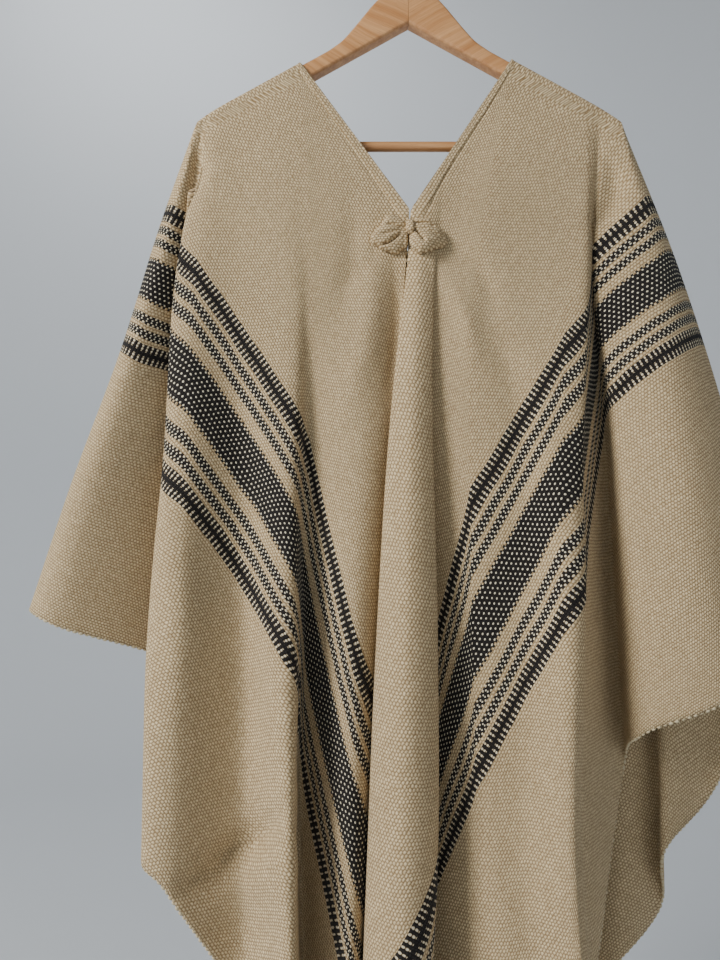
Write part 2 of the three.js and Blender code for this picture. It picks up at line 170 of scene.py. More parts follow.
# Each fold of the hanging cloth is one row: its name, its place from the bend along the shoulder and the neck
# edge, x and y at a quarter, half, three quarters and the end of its drop, and z at the hem. The last three
# are z where the patterned band starts and ends, and how far across the strip the hem lies.
LEFT_FRONT = (
    ("silhouette", 0, (-.26, -.292, -.33, -.366), (0, 0, 0, 0), -.719, -.314, -.466, .64),
    ("sleeve", .007, (-.243, -.27, -.302, -.331), (-.019, -.033, -.043, -.046), -.733, -.323, -.484, .64),
    ("sleeve valley", .014, (-.226, -.217, -.202, -.192), (-.008, .004, .014, .022), -.802, -.33, -.505, .64),
    ("fold edge", .022, (-.231, -.236, -.243, -.24), (-.022, -.034, -.046, -.052), -.922, -.356, -.599, .632),
    ("fold", .034, (-.211, -.212, -.214, -.216), (-.028, -.048, -.066, -.072), -.956, -.382, -.631, .622),
    ("hollow", .06, (-.172, -.165, -.159, -.155), (-.025, -.03, -.036, -.038), -1.061, -.435, -.698, .612),
    ("crest", .095, (-.119, -.115, -.111, -.105), (-.028, -.05, -.074, -.084), -1.1, -.531, -.775, .6),
    ("valley", .126, (-.096, -.101, -.106, -.103), (-.024, -.022, -.012, -.006), -1.13, -.56, -.885, .575),
    ("ridge", .24, (-.043, -.053, -.058, -.064), (-.03, -.048, -.056, -.054), -1.179, -.745, -1.07, .46),
    ("seam", 0, (-.014, -.021, -.037, -.057), (-.017, -.009, -.007, -.007), -1.2, -.82, -1.14, .42),
)
LEFT_BACK = (
    ("silhouette", 0, (-.26, -.292, -.33, -.366), (0, 0, 0, 0), -.719, -.314, -.466, .64),
    ("sleeve back", .007, (-.249, -.272, -.296, -.318), (.016, .024, .028, .024), -.728, -.33, -.5, .64),
    ("sleeve valley", .014, (-.232, -.234, -.238, -.243), (.012, .012, .016, .02), -.755, -.345, -.54, .64),
    ("fold edge", .022, (-.22, -.225, -.23, -.235), (.024, .034, .044, .05), -.92, -.35, -.56, .64),
    ("fold back", .034, (-.201, -.204, -.206, -.206), (.027, .042, .056, .06), -.954, -.365, -.59, .64),
    ("hollow", .06, (-.167, -.157, -.151, -.146), (.022, .03, .034, .036), -1.012, -.43, -.68, .6),
    ("crest", .095, (-.129, -.112, -.1, -.094), (.028, .046, .06, .066), -1.084, -.5, -.76, .58),
    ("valley", .126, (-.082, -.073, -.063, -.058), (.024, .028, .03, .032), -1.103, -.56, -.82, .555),
    ("ridge", .24, (-.038, -.032, -.029, -.028), (.028, .042, .052, .056), -1.155, -.64, -.9, .53),
    ("seam", 0, (-.001, -.002, -.003, -.004), (.018, .022, .026, .028), -1.184, -.693, -.964, .505),
)
LEFT_SHOULDER = {"side": -1, "ridge": 0.126, "neck": 0.113, "lip": 0.003}

# Creases that the hanging folds don't give, each pressed in or raised: the layer, x and z where it
# starts and ends, its depth, outwards if above 0, and its half width.
CREASE_BOW = 0.012
CREASE_TOP_FADE = 0.05
LEFT_CREASES = (
    ("front", -0.11, -0.88, -0.222, -0.966, -0.0085, 0.0095),
    ("front", -0.105, -0.915, -0.195, -0.985, 0.005, 0.018),
    ("front", -0.15, -0.62, -0.125, -0.87, 0.004, 0.018),
    ("front", -0.19, -0.47, -0.15, -0.7, -0.004, 0.016),
    ("front", -0.014, -0.36, -0.027, -0.53, -0.006, 0.011),
    ("front", -0.038, -0.36, -0.068, -0.54, 0.005, 0.013),
    ("front", -0.06, -0.3, -0.083, -0.46, -0.0035, 0.012),
    ("front", -0.03, -0.35, -0.075, -0.4, -0.003, 0.007),
    ("front", -0.223, -0.24, -0.228, -0.33, -0.005, 0.009),
    ("front", -0.27, -0.3, -0.31, -0.45, -0.003, 0.014),
    ("front", -0.23, -0.62, -0.215, -0.84, 0.003, 0.015),
    ("back", -0.1, -0.4, -0.16, -0.7, 0.004, 0.02),
    ("back", -0.05, -0.5, -0.1, -0.9, -0.006, 0.018),
    ("back", -0.2, -0.35, -0.17, -0.62, -0.005, 0.013),
    ("back", -0.14, -0.8, -0.19, -1.0, 0.005, 0.02),
    ("back", -0.05, -0.3, -0.09, -0.42, -0.004, 0.01),
    ("back", -0.28, -0.35, -0.31, -0.6, -0.003, 0.012),
)


def smooth_along(values, places):
    """Smooth values at places along values that lie one apart, with a row for each place or one for all."""
    values = np.atleast_2d(values)
    last = values.shape[1] - 1
    ends = [2 * values[:, :1] - values[:, 1:2], values, 2 * values[:, last:] - values[:, last - 1 : last]]
    padded = np.concatenate(ends, axis=1)
    index = np.clip(np.floor(places).astype(int), 0, last - 1)
    part = places - index
    if values.shape[0] == 1:
        a, b, c, d = (padded[0][index + k] for k in range(4))
    else:
        a, b, c, d = (np.take_along_axis(padded, index + k, axis=1) for k in range(4))
    return b + 0.5 * part * (c - a + part * (2 * a - 5 * b + 4 * c - d + part * (3 * (b - c) + d - a)))


def shoulder_height(x):
    return SHOULDER_APEX - SHOULDER_SLOPE * np.abs(x)


def neck_edge(neck):
    return math.hypot(neck, float(shoulder_height(neck)) - NECK_BOTTOM)


def top_point(shoulder, distance):
    """The point on the shoulder line or the neck edge at a distance from the bend, on the right side."""
    ridge, neck = shoulder["ridge"], shoulder["neck"]
    if distance <= ridge:
        x = neck + (ridge - distance) / SLANT
        return x, float(shoulder_height(x)) - BEND_DROP * math.exp(-distance / BEND_SOFTNESS)
    start = float(shoulder_height(neck))
    along = (distance - ridge) / neck_edge(neck)
    return neck * (1 - along), start + (NECK_BOTTOM - start) * along


def fold_rows(table, shoulder):
    """The table's folds as plain rows, with the two that turn into the seam at the valley's bottom."""
    side = shoulder["side"]
    rows = [dict(top=r[1], x=r[2], y=r[3], hem=r[4], band=r[5:8]) for r in table[:-1]]
    _, _, x, y, hem, *band = table[-1]
    end = shoulder["ridge"] + neck_edge(shoulder["neck"])
    beside = [v + side * (CLOTH + SEAM_GAP) / 2 for v in x]
    lip = [v + math.copysign(shoulder["lip"], y[0]) for v in y]
    rows.append(dict(top=end - LIP_WIDTH, x=beside, y=lip, hem=hem, band=band))
    rows.append(dict(top=end, x=beside, y=y, hem=hem, band=band))
    return rows


def smoothed(values, reach, axis):
    """Values averaged softly with their neighbours along an axis, the ends carried on straight."""
    weights = np.exp(-0.5 * (np.arange(-3 * reach, 3 * reach + 1) / reach) ** 2)
    weights /= weights.sum()
    moved = np.moveaxis(values, axis, 0)
    count = 3 * reach
    before = 2 * moved[:1] - moved[1 : count + 1][::-1]
    after = 2 * moved[-1:] - moved[-count - 1 : -1][::-1]
    padded = np.concatenate([before, moved, after])
    out = sum(w * padded[k : k + len(moved)] for k, w in enumerate(weights))
    return np.moveaxis(out, 0, axis)


def column_places(rows, ridge):
    """Places along the folds for columns that lie about evenly on the cloth, and where each starts at the
    top. One column starts right at the end of the shoulder's line."""
    places, tops = [], []
    for k, (near, far) in enumerate(zip(rows, rows[1:])):
        steps = [far["top"] - near["top"]]
        steps += [math.hypot(far["x"][q] - near["x"][q], far["y"][q] - near["y"][q]) for q in range(4)]
        count = max(3, math.ceil(max(steps) / COLUMN_STEP))
        top = near["top"] + np.arange(count) / count * steps[0]
        if near["top"] < ridge < far["top"]:
            top[1 + np.abs(top[1:] - ridge).argmin()] = ridge
        places.extend(k + (top - near["top"]) / steps[0])
        tops.extend(top)
    return np.array([*places, len(rows) - 1]), np.array([*tops, rows[-1]["top"]])


def layer_grid(rows, across, shoulder, facing, silhouette_threads):
    """One layer of a half: points in columns from the silhouette to the seam, each from the top to the hem.
    With them, where each point lies on the woven strip: along it, across it, and across in even threads."""
    side = shoulder["side"]
    folds = [across[1], *rows]
    places, top = column_places(rows, shoulder["ridge"])
    picked = lambda value: smooth_along([value(f) for f in folds], places + 1)
    top_x, top_z = np.array([top_point(shoulder, t) for t in top]).T
    hem = picked(lambda f: f["hem"])
    below_ridge = np.where(top > shoulder["ridge"] + 1e-9, shoulder_height(top_x) - top_z, 0)
    neck_part = below_ridge / (shoulder_height(0) - NECK_BOTTOM)
    top_y = facing * (OVER_ARM + (NECK_DEPTH - OVER_ARM) * neck_part) * np.minimum(1, places)
    xs = np.stack([side * top_x, *(picked(lambda f: f["x"][k]) for k in range(4))], axis=1)
    ys = np.stack([top_y, *(picked(lambda f: f["y"][k]) for k in range(4))], axis=1)
    length = (top_z - hem)[:, None]
    first = np.array(FIRST_ROWS)[None, :] / length
    rest = first[:, -1:] + (1 - first[:, -1:]) * np.arange(1, EVEN_ROWS + 1)[None, :] / EVEN_ROWS
    drop = np.minimum(np.concatenate([first, rest], axis=1), 1)
    z = top_z[:, None] - length * drop
    x = smooth_along(xs, 4 * drop)
    is_roll = side > 0 and facing < 0
    seam_x = smooth_along([side * (CLOTH + SEAM_GAP) / 2, *rows[-1]["x"]], 4 * drop)
    beyond = (places > len(rows) - (ROLL_SEAM_FOLDS if is_roll else SEAM_FOLDS))[:, None]
    x = np.where(beyond, np.maximum(x, seam_x) if side > 0 else np.minimum(x, seam_x), x)
    below = below_ridge[:, None] + top_z[:, None] - z
    rounded = np.cbrt(1 - np.clip(1 - below / OVER_ARM_ROUND, 0, 1) ** 3)
    y = smooth_along(ys, 4 * drop) * rounded
    points = np.stack([x, y, z], axis=2)

    start, end, hem_across = (picked(lambda f: f["band"][k]) for k in range(3))
    across_top = np.maximum(shoulder["ridge"] - top, 0)
    v = np.empty_like(z)
    gone = np.linalg.norm(np.diff(points, axis=1, prepend=points[:, :1]), axis=2).cumsum(axis=1)
    for i in range(len(places)):
        reached = lambda level: np.interp(-level, -z[i], gone[i]) + max(0, z[i, -1] - level)
        stops = [(0, across_top[i]), (reached(start[i]), BAND_START), (reached(end[i]), BAND_END)]
        stops.append((gone[i, -1], hem_across[i]))
        if end[i] < hem[i] + LEAST_BELOW_BAND:
            stops = stops[:-1]
        v[i] = np.interp(gone[i], *zip(*stops))
    v = smoothed(smoothed(v, 6, 1), 4, 0)
    on_fold = np.zeros(z.shape, bool)
    on_fold[0] = True
    on_fold[top <= shoulder["ridge"] + 1e-9, 0] = True
    u = evenly_spread(points, v, True, on_fold, np.zeros(z.shape))
    on_edge = np.zeros(z.shape, bool)
    on_edge[:, 0] = True
    held = np.zeros(z.shape)
    held[:, 0] = across_top
    if silhouette_threads is not None:
        on_edge[0] = True
        held[0] = silhouette_threads
    threads = evenly_spread(points, v, False, on_edge, held)
    return points, np.stack([-facing * side * u, v, threads], axis=2)


MOST_ROUNDS = 1500
CLOSE_ENOUGH = 1e-13


def evenly_spread(points, v, turned, fixed, held):
    """The value that rises evenly by 1 a metre square to the lines of v, or along them where it is turned,
    found by least squares over the grid's cells. It keeps the held values at the fixed points."""
    across = (points[1:, :-1] - points[:-1, :-1] + points[1:, 1:] - points[:-1, 1:]) / 2
    down = (points[:-1, 1:] - points[:-1, :-1] + points[1:, 1:] - points[1:, :-1]) / 2
    v_across = (v[1:, :-1] - v[:-1, :-1] + v[1:, 1:] - v[:-1, 1:]) / 2
    v_down = (v[:-1, 1:] - v[:-1, :-1] + v[1:, 1:] - v[1:, :-1]) / 2
    dot = lambda a, b: (a * b).sum(axis=-1)
    e, f, g = dot(across, across), dot(across, down), dot(down, down)
    area = np.sqrt(np.maximum(e * g - f * f, 1e-18))
    along_v = (g * v_across - f * v_down)[..., None] * across + (e * v_down - f * v_across)[..., None] * down
    along_v /= np.maximum(np.linalg.norm(along_v, axis=2, keepdims=True), 1e-18)
    normal = np.cross(across, down)
    normal /= np.maximum(np.linalg.norm(normal, axis=2, keepdims=True), 1e-18)
    along_u = along_v
    if turned:
        along_u = np.cross(normal, along_v)
        if (dot(along_u, down) * area).sum() < 0:
            along_u = -along_u
    weight_across = np.clip(g / area, 0.02, 50)
    weight_down = np.clip(e / area, 0.02, 50)
    aim_across, aim_down = dot(along_u, across), dot(along_u, down)

    def gathered(rise_across, rise_down):
        """What the weighted steps over every cell's four sides add up to at each point."""
        out = np.zeros(v.shape)
        for near, far, step in (
            ((slice(0, -1), slice(0, -1)), (slice(1, None), slice(0, -1)), rise_across[0]),
            ((slice(0, -1), slice(1, None)), (slice(1, None), slice(1, None)), rise_across[1]),
            ((slice(0, -1), slice(0, -1)), (slice(0, -1), slice(1, None)), rise_down[0]),
            ((slice(1, None), slice(0, -1)), (slice(1, None), slice(1, None)), rise_down[1]),
        ):
            out[near] -= step
            out[far] += step
        return out

    def spread(u):
        rise_across = (u[1:, :-1] - u[:-1, :-1], u[1:, 1:] - u[:-1, 1:])
        rise_down = (u[:-1, 1:] - u[:-1, :-1], u[1:, 1:] - u[1:, :-1])
        return gathered([weight_across * r for r in rise_across], [weight_down * r for r in rise_down])

    aim = gathered((weight_across * aim_across,) * 2, (weight_down * aim_down,) * 2)
    scale = np.zeros(v.shape)
    for part in (weight_across, weight_down):
        scale[:-1, :-1] += part
        scale[1:, :-1] += part
        scale[:-1, 1:] += part
        scale[1:, 1:] += part
    free = ~fixed
    u = held[:, :1] + np.zeros(v.shape)
    u[:, 1:] += np.cumsum(np.maximum(np.pad(aim_down, ((0, 1), (0, 0)), "edge"), 0), axis=1)
    u = np.where(fixed, held, u)
    rest = (aim - spread(u)) * free
    aside = rest / scale
    way = aside.copy()
    level = (rest * aside).sum()
    for _ in range(MOST_ROUNDS):
        pull = spread(way) * free
        step = level / (way * pull).sum()
        u += step * way
        rest -= step * pull
        aside = rest / scale
        new_level = (rest * aside).sum()
        if new_level < CLOSE_ENOUGH:
            break
        way = aside + new_level / level * way
        level = new_level
    return u


def pressed(points, uv, facing, layer, creases):
    """The points with the layer's creases pressed in or raised, each soft and fading to its ends, and the
    turned edge along the neck a little thicker, with the groove where it is sewn down."""
    across = np.gradient(points, axis=0)
    down = np.gradient(points, axis=1)
    normal = np.cross(across, down)
    normal /= np.maximum(np.linalg.norm(normal, axis=2, keepdims=True), 1e-9)
    normal *= np.where(normal[:, :, 1:2] * facing < 0, -1, 1)
    move = np.zeros(points.shape[:2])
    for name, x0, z0, x1, z1, depth, half_width in creases:
        if name != layer:
            continue
        line = np.array([x1 - x0, z1 - z0])
        length = np.linalg.norm(line)
        offset = points[:, :, [0, 2]] - [x0, z0]
        along = offset @ line / length**2
        bowed = CREASE_BOW * np.sin(math.pi * np.clip(along, 0, 1)) * math.copysign(1, x1 + z1 - x0 - 2 * z0)
        beside = (offset[:, :, 0] * line[1] - offset[:, :, 1] * line[0]) / length + bowed
        ends = np.clip(np.minimum(along, 1 - along) * 2 + 0.15, 0, 1)
        move += depth * np.exp(-((beside / half_width) ** 2)) * (ends * ends * (3 - 2 * ends))
    free = np.clip((points[:, :1, 2] - points[:, :, 2]) / CREASE_TOP_FADE, 0, 1)
    edge = np.minimum(1, np.minimum(np.arange(len(points)), np.arange(len(points))[::-1]) / 8)[:, None]
    from_neck = uv[:, :, 2]
    turned_edge = HEM_RAISE * np.clip((HEM_WIDTH - from_neck) / 0.002, 0, 1)
    groove = HEM_GROOVE * np.exp(-(((from_neck - HEM_WIDTH) / GROOVE_HALF_WIDTH) ** 2))
    below_neck = uv[:, :1, 2] < 1e-4
    move = move * free + (turned_edge - groove) * below_neck
    return points + normal * (move * edge)[:, :, None]


def strip_maps(made, places):
    """The uv maps of woven cloth from each point's place along, across, and across in even threads."""
    corners = np.empty(len(made.data.loops), int)
    made.data.loops.foreach_get("vertex_index", corners)
    for name, columns in (("strip", (0, 1)), ("threads", (0, 2))):
        layer = made.data.uv_layers.new(name=name)
        layer.data.foreach_set("uv", places[corners][:, columns].astype(np.float32).ravel())


def woven_half(name, front_table, back_table, shoulder, creases):
    """Both layers of one half, joined over the shoulder and down the silhouette, with a wall of the cloth's
    thickness. Its uv maps are the woven strip in metres, along and across, and the same in even threads."""
    front = fold_rows(front_table, shoulder)
    back = fold_rows(back_table, shoulder)
    points, places, faces, known = [], [], [], {}
    grids = {}
    silhouette_threads = None
    for layer, rows, other, facing in (("front", front, back, -1), ("back", back, front, 1)):
        grid, uv = layer_grid(rows, other, shoulder, facing, silhouette_threads)
        silhouette_threads = uv[0, :, 2]
        grid = pressed(grid, uv, facing, layer, creases)
        grids[layer] = (grid, uv)
        index = np.empty(grid.shape[:2], int)
        for i in range(grid.shape[0]):
            for j in range(grid.shape[1]):
                key = tuple(np.round(grid[i, j] * 1e5).astype(int))
                if key not in known:
                    known[key] = len(points)
                    points.append(grid[i, j])
                    places.append(uv[i, j])
                index[i, j] = known[key]
        turn = (shoulder["side"] > 0) == (facing < 0)
        for i in range(grid.shape[0] - 1):
            for j in range(grid.shape[1] - 1):
                corners = [index[i, j], index[i, j + 1], index[i + 1, j + 1], index[i + 1, j]]
                corners = list(dict.fromkeys(corners))
                if len(corners) > 2:
                    faces.append(corners[::-1] if turn else corners)
    made = mesh_object(name, points, faces)
    strip_maps(made, np.array(places))
    wall = made.modifiers.new("wall", "SOLIDIFY")
    wall.thickness = CLOTH
    wall.offset = 0
    applied(made)
    return made, grids


def applied(made):
    """The object with its modifiers turned into plain mesh."""
    evaluated = made.evaluated_get(bpy.context.evaluated_depsgraph_get())
    mesh = bpy.data.meshes.new_from_object(evaluated)
    made.modifiers.clear()
    old, made.data = made.data, mesh
    mesh.name = made.name
    bpy.data.meshes.remove(old)
    return made


class Number:
    """A number in a material's node tree, on which Python's own operators work."""

    def __init__(self, tree, socket):
        self.tree = tree
        self.socket = socket

    def node(self, kind, settings=None, inputs=None, output=0):
        """A new node in the same tree with these settings, and a value or a link for each of these inputs."""
        made = self.tree.nodes.new(kind)
        for key, value in (settings or {}).items():
            setattr(made, key, value)
        for key, value in (inputs or {}).items():
            if isinstance(value, Number):
                self.tree.links.new(value.socket, made.inputs[key])
            else:
                made.inputs[key].default_value = value
        return Number(self.tree, made.outputs[output])

    def maths(self, operation, *numbers):
        return self.node("ShaderNodeMath", {"operation": operation}, dict(enumerate(numbers)))

    def __add__(self, other):
        return self.maths("ADD", self, other)

    def __radd__(self, other):
        return self.maths("ADD", other, self)

    def __sub__(self, other):
        return self.maths("SUBTRACT", self, other)

    def __rsub__(self, other):
        return self.maths("SUBTRACT", other, self)

    def __mul__(self, other):
        return self.maths("MULTIPLY", self, other)

    def __rmul__(self, other):
        return self.maths("MULTIPLY", other, self)

    def __truediv__(self, other):
        return self.maths("DIVIDE", self, other)

    def __rtruediv__(self, other):
        return self.maths("DIVIDE", other, self)

    def __mod__(self, other):
        return self.maths("FLOORED_MODULO", self, other)

    def __rmod__(self, other):
        return self.maths("FLOORED_MODULO", other, self)

    def __pow__(self, other):
        return self.maths("POWER", self, other)

    def __rpow__(self, other):
        return self.maths("POWER", other, self)

    def __lt__(self, other):
        return self.maths("LESS_THAN", self, other)

    def __gt__(self, other):
        return self.maths("GREATER_THAN", self, other)

    def __abs__(self):
        return self.maths("ABSOLUTE", self)

    def floor(self):
        return self.maths("FLOOR", self)

    def sine(self):
        return self.maths("SINE", self)

    def limited(self):
        """The number kept from 0 to 1."""
        return self.node("ShaderNodeClamp", {}, {0: self, 1: 0.0, 2: 1.0})

    def color(self, low, high):
        """A colour from low, where the number is 0, to high, where it is 1."""
        return self.node("ShaderNodeMix", {"data_type": "RGBA"}, {0: self, 6: low, 7: high}, 2)


def linear(red, green, blue):
    """A colour of a screen's 0 to 255 values, each above 10, as the shader takes it."""
    return tuple(((c / 255 + 0.055) / 1.055) ** 2.4 for c in (red, green, blue)) + (1,)


ROW = 0.00228
CELL = 0.0026
MIDDLE_ROW = 34
MESH_ROWS = 8
RING_EDGES = (15, 18, 21, 24)
RING_MIDDLES = (16, 17, 22, 23)
BORDER_START = 26.5
BORDER_END = 34.5
BORDER_THREADS = 6
CORE_HALF_WIDTH = 0.7
GROUND_ALONG = 0.0036
GROUND_ACROSS = 0.0024
# Ground colours: tan in the gaps between knobs, partly the other threads' own tone and partly painted shade;
# cream on the knobs' tops, partly the thread and partly a painted highlight.
GROUND_TAN_GAP_SHADE_COLOR = linear(134, 106, 69)
GROUND_CREAM_KNOB_HIGHLIGHT_COLOR = linear(238, 215, 172)
# Black colours: darker in the gaps between knobs as painted shade, lighter grey on the knobs' tops as a
# painted highlight.
BLACK_GAP_SHADE_COLOR = linear(15, 13, 12)
BLACK_KNOB_HIGHLIGHT_COLOR = linear(50, 45, 42)
WHITE_COLOR = linear(236, 225, 198)


def uv_place(tree, name):
    """The place on one of the cloth's uv maps, and its two numbers."""
    place = Number(tree, tree.nodes.new("ShaderNodeUVMap").outputs[0])
    place.socket.node.uv_map = name
    split = place.node("ShaderNodeSeparateXYZ", {}, {0: place}).socket.node
    return place, Number(tree, split.outputs[0]), Number(tree, split.outputs[1])


def wool_noise(threads, stretch, detail=2.0, shift=0.0):
    """Soft noise from 0 to 1 over the cloth, with so many changes a metre along and across the strip."""
    ways = {0: threads, 1: (*stretch, 0.0), 2: (shift, shift, shift)}
    scaled = threads.node("ShaderNodeVectorMath", {"operation": "MULTIPLY_ADD"}, ways)
    return threads.node("ShaderNodeTexNoise", {}, {"Vector": scaled, "Scale": 1.0, "Detail": detail})


def band_pattern(u, v):
    """Where the band is black and where it is white, and the round knob in each of its cells. From its middle
    outwards come a dotted mesh, two chains of rings and a border of bars, the same on both sides."""
    down = (v - BAND_START) / ROW
    along = u / CELL
    row = down.floor()
    from_middle = abs(row - MIDDLE_ROW)
    off_along = (along % 1) - 0.5
    off_down = (down % 1) - 0.5
    odd_cell = along.floor() % 2
    even_cell = 1 - odd_cell

    def on_rows(*numbers):
        """1 on these rows, counted from the band's middle row on both sides."""
        return sum((from_middle > k - 0.5) * (from_middle < k + 0.5) for k in numbers)

    def disc(radius, blur=0.16, off_across=off_down):
        """A soft round knob in the middle of each cell."""
        return ((radius - (off_along * off_along + off_across * off_across) ** 0.5) / blur + 0.5).limited()

    mesh = (from_middle > -0.5) * (from_middle < MESH_ROWS + 0.5)
    mesh_edge = on_rows(MESH_ROWS + 1) * ((along.floor() + (MIDDLE_ROW - MESH_ROWS) // 2) % 2)
    dotted_cell = (along.floor() + (row * 0.5).floor()) % 2
    mesh_dot = mesh * (1 - row % 2) * dotted_cell * disc(0.4)
    ring_edge = on_rows(*RING_EDGES)
    ring_middle = on_rows(*RING_MIDDLES)
    black = mesh + mesh_edge * disc(0.66, 0.1) + ring_middle
    black = black + ring_edge * (even_cell + odd_cell * (1 - disc(0.5, 0.14)))
    white = mesh_dot + ring_middle * even_cell * disc(0.34) + ring_edge * odd_cell * disc(0.34)

    from_center = abs(down - (MIDDLE_ROW + 0.5))
    border = (from_center > BORDER_START) * (from_center < BORDER_END)
    thread = (from_center - BORDER_START) / ((BORDER_END - BORDER_START) / BORDER_THREADS)
    core = border * (abs(thread - BORDER_THREADS / 2) < CORE_HALF_WIDTH)
    bars = border * (1 - core)
    off_thread = (thread % 1) - 0.5
    black = black + core + bars * (even_cell + odd_cell * (1 - disc(0.44, 0.16, off_thread)))
    white = white + bars * odd_cell * disc(0.33, 0.16, off_thread)
    return black.limited(), white.limited(), disc(0.42, 0.5)


def wool_material():
    """Two-colour wool: a cream plain weave in brick order, and black and white threads in the band. Its knobs
    are painted lighter at their middles as highlights and darker between as shade.
    """
    made = bpy.data.materials.new("woven wool")
    made.use_nodes = True
    tree = made.node_tree
    shader = tree.nodes["Principled BSDF"]
    shader.inputs["Roughness"].default_value = 0.92
    shader.inputs["Specular IOR Level"].default_value = 0.15
    shader.inputs["Sheen Weight"].default_value = 0.06
    shader.inputs["Sheen Roughness"].default_value = 0.6
    _, u, v = uv_place(tree, "strip")
    threads, _, even_v = uv_place(tree, "threads")

    sway_along = (wool_noise(threads, (60, 25)) - 0.5) * 0.0022
    sway_across = (wool_noise(threads, (22, 14), 2.0, 7.3) - 0.5) * 0.0034
    uneven = wool_noise(threads, (260, 260), 1.0, 4.2) - 0.5
    u = u + sway_along + uneven * 0.0013
    even_v = even_v + sway_across + uneven * 0.0016
    black, white, cell_knob = band_pattern(u, v + sway_across)
    pick = even_v / GROUND_ACROSS
    beside_pick = abs((pick * math.pi).sine())
    ground_knob = (abs(((u / GROUND_ALONG + pick.floor() * 0.5) * math.pi).sine()) * beside_pick) ** 0.7
    marked = (black + white).limited()
    knob = ground_knob * (1 - marked) + cell_knob * marked

    streaks = wool_noise(threads, (9, 520), 3.0, 3.1)
    picks = wool_noise(threads, (420, 12), 3.0, 5.7)
    cloudy = wool_noise(threads, (7, 9), 3.0, 1.9)
    specks = wool_noise(threads, (340, 340), 2.0, 6.6)
    shade = 0.98 + 0.24 * (streaks - 0.5) + 0.2 * (picks - 0.5) + 0.2 * (cloudy - 0.5)
    # Each ground knob is painted lighter at its middle and darker at its edges: painted highlight and painted
    # shade over the two thread tones.
    ground = (ground_knob * (0.35 + specks * 1.1)).limited().color(GROUND_TAN_GAP_SHADE_COLOR, GROUND_CREAM_KNOB_HIGHLIGHT_COLOR)
    # Each black knob is painted grey at its middle and near black between: painted highlight and painted
    # shade on the black thread.
    dark = (cell_knob * (specks * 1.4)).limited().color(BLACK_GAP_SHADE_COLOR, BLACK_KNOB_HIGHLIGHT_COLOR)
    colored = white.color(black.color(ground, dark), WHITE_COLOR)
    toned = colored.node("ShaderNodeVectorMath", {"operation": "SCALE"}, {0: colored, "Scale": shade})
    tree.links.new(toned.socket, shader.inputs["Base Color"])
    height = knob * 0.8 + wool_noise(threads, (1500, 1500), 2.0, 9.4) * 0.35
    bump = height.node("ShaderNodeBump", {}, {"Height": height, "Strength": 0.9, "Distance": 0.0009})
    tree.links.new(bump.socket, shader.inputs["Normal"])
    return made


wool = wool_material()
left_half, left_grids = woven_half("left_half", LEFT_FRONT, LEFT_BACK, LEFT_SHOULDER, LEFT_CREASES)
left_half.data.materials.append(wool)
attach(left_half, "root")
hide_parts("left_panel")


# Right half of the poncho
# The same strip laid over the other shoulder. Its front reaches past the middle and is gathered in a hanging
# roll, which has four folds of its own in the front's table.
RIGHT_FRONT = (
    ("silhouette", 0, (.268, .305, .335, .364), (0, 0, 0, 0), -.753, -.307, -.461, .64),
    ("sleeve", .007, (.239, .249, .262, .28), (-.023, -.044, -.057, -.057), -.798, -.316, -.482, .64),
    ("sleeve edge", .016, (.189, .2, .205, .21), (-.016, -.027, -.033, -.032), -.835, -.361, -.52, .64),
    ("sleeve valley", .03, (.184, .193, .2, .206), (-.008, .003, .01, .012), -.88, -.374, -.55, .64),
    ("fold turn", .039, (.175, .16, .154, .156), (-.021, -.034, -.044, -.046), -1.04, -.41, -.69, .625),
    ("fold edge", .046, (.169, .152, .143, .144), (-.028, -.051, -.066, -.07), -1.05, -.43, -.722, .62),
    ("fold", .062, (.151, .135, .129, .132), (-.028, -.054, -.074, -.08), -1.071, -.458, -.744, .61),
    ("middle", .1, (.112, .101, .098, .098), (-.027, -.04, -.05, -.054), -1.123, -.53, -.806, .59),
    ("hollow", .133, (.06, .054, .056, .058), (-.028, -.035, -.041, -.045), -1.172, -.623, -.889, .56),
    ("roll valley", .262, (.016, .011, .009, .008), (-.024, -.016, -.01, -.008), -1.205, -.821, -1.036, .5),
    ("roll right", .29, (.017, .019, .015, -.006), (-.036, -.05, -.058, -.062), -1.2, -.942, -1.256, .341),
    ("roll", .308, (-.001, -.009, -.013, -.016), (-.046, -.07, -.082, -.088), -1.196, -.997, -1.311, .312),
    ("roll end", .321, (-.02, -.035, -.044, -.051), (-.036, -.048, -.056, -.06), -1.198, -1.06, -1.374, .281),
    ("seam", 0, (-.014, -.021, -.037, -.057), (-.017, -.009, -.007, -.007), -1.2, -1.133, -1.447, .245),
)
